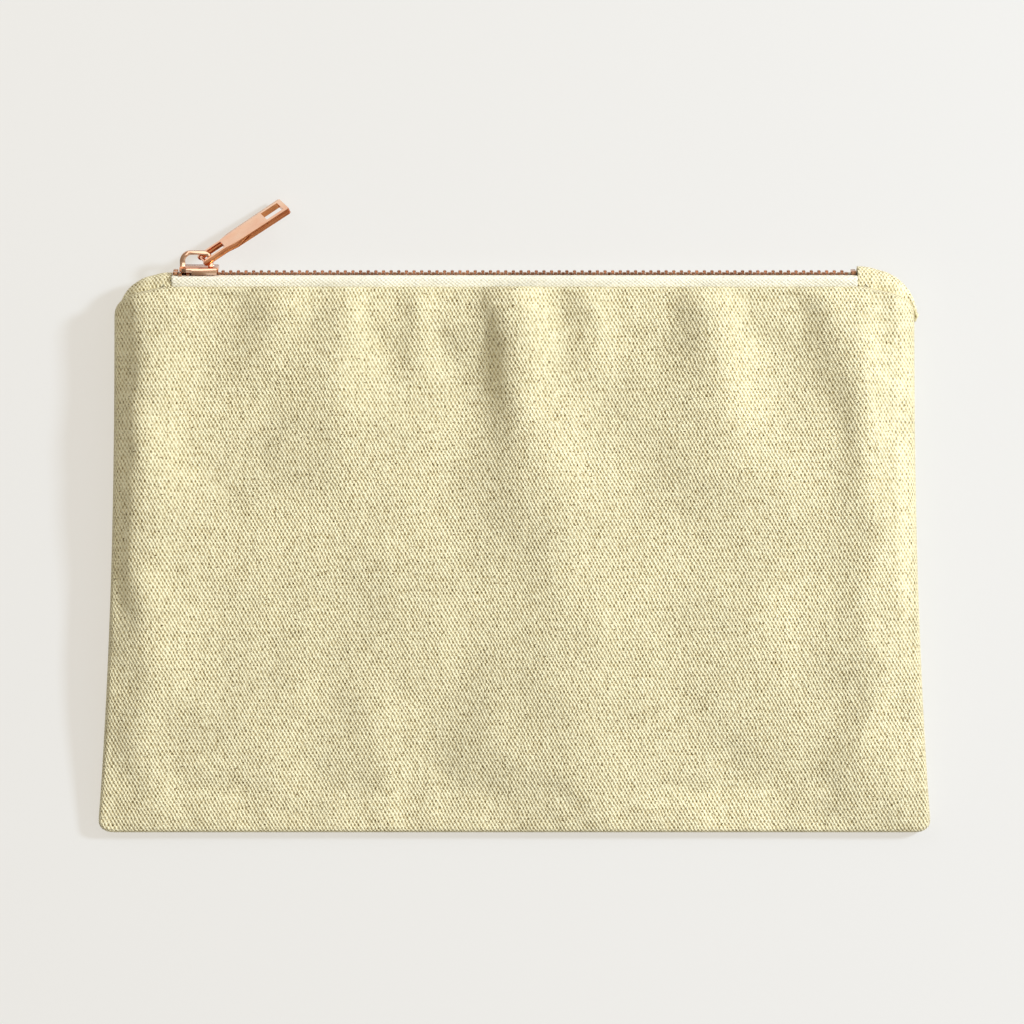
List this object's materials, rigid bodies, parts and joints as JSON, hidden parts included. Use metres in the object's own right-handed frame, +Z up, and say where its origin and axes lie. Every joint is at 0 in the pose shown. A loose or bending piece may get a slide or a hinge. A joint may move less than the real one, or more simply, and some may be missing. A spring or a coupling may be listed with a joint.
{
  "type": "zippered pouch",
  "caption": "Flat rectangular canvas pouch, flaring slightly to its base, lined, with end tabs, a metal zip along the top and a slotted pull tab.",
  "frame": {"origin": "middle of the underside of the lying pouch", "axes": "+X along the zip towards its closed end, +Y from the bottom seam to the zip, +Z up out of the front panel"},
  "size_m": [0.2406, 0.1828, 0.0144],
  "materials": {
    "canvas": "unbleached plain-weave duck with small seed flecks",
    "lining": "thin plain cotton",
    "zip_tape": "woven cream tape",
    "thread": "twisted sewing thread",
    "teeth": "rose-gold plated",
    "slider_metal": "polished rose-gold plating",
    "pull_metal": "polished rose-gold plating"
  },
  "bodies": {
    "pouch": {"front_panel": "canvas", "back_panel": "canvas", "front_lining": "lining", "back_lining": "lining", "left_end_tab": "canvas", "right_end_tab": "canvas", "front_zip_tape": "zip_tape", "back_zip_tape": "zip_tape", "front_teeth": "teeth", "back_teeth": "teeth", "front_top_stop": "teeth", "back_top_stop": "teeth", "bottom_stop": "teeth", "left_seam_thread": "thread", "right_seam_thread": "thread", "bottom_seam_thread": "thread", "front_zip_thread": "thread", "back_zip_thread": "thread", "left_tab_thread": "thread", "right_tab_thread": "thread"},
    "slider": {"slider_body": "slider_metal"},
    "pull": {"pull_tab": "pull_metal"}
  },
  "joints": [
    {"name": "slider_slide", "type": "slide", "parent": "pouch", "child": "slider", "axis": [1, 0, 0], "range_m": [0, 0.181], "deforming": ["front_teeth", "back_teeth"]},
    {"name": "pull_swing", "type": "hinge", "parent": "slider", "child": "pull", "pos_m": [-0.0895, 0.0842, 0.00894], "axis": [0, -0.2079, 0.9781], "range_deg": [-18, 105]}
  ]
}
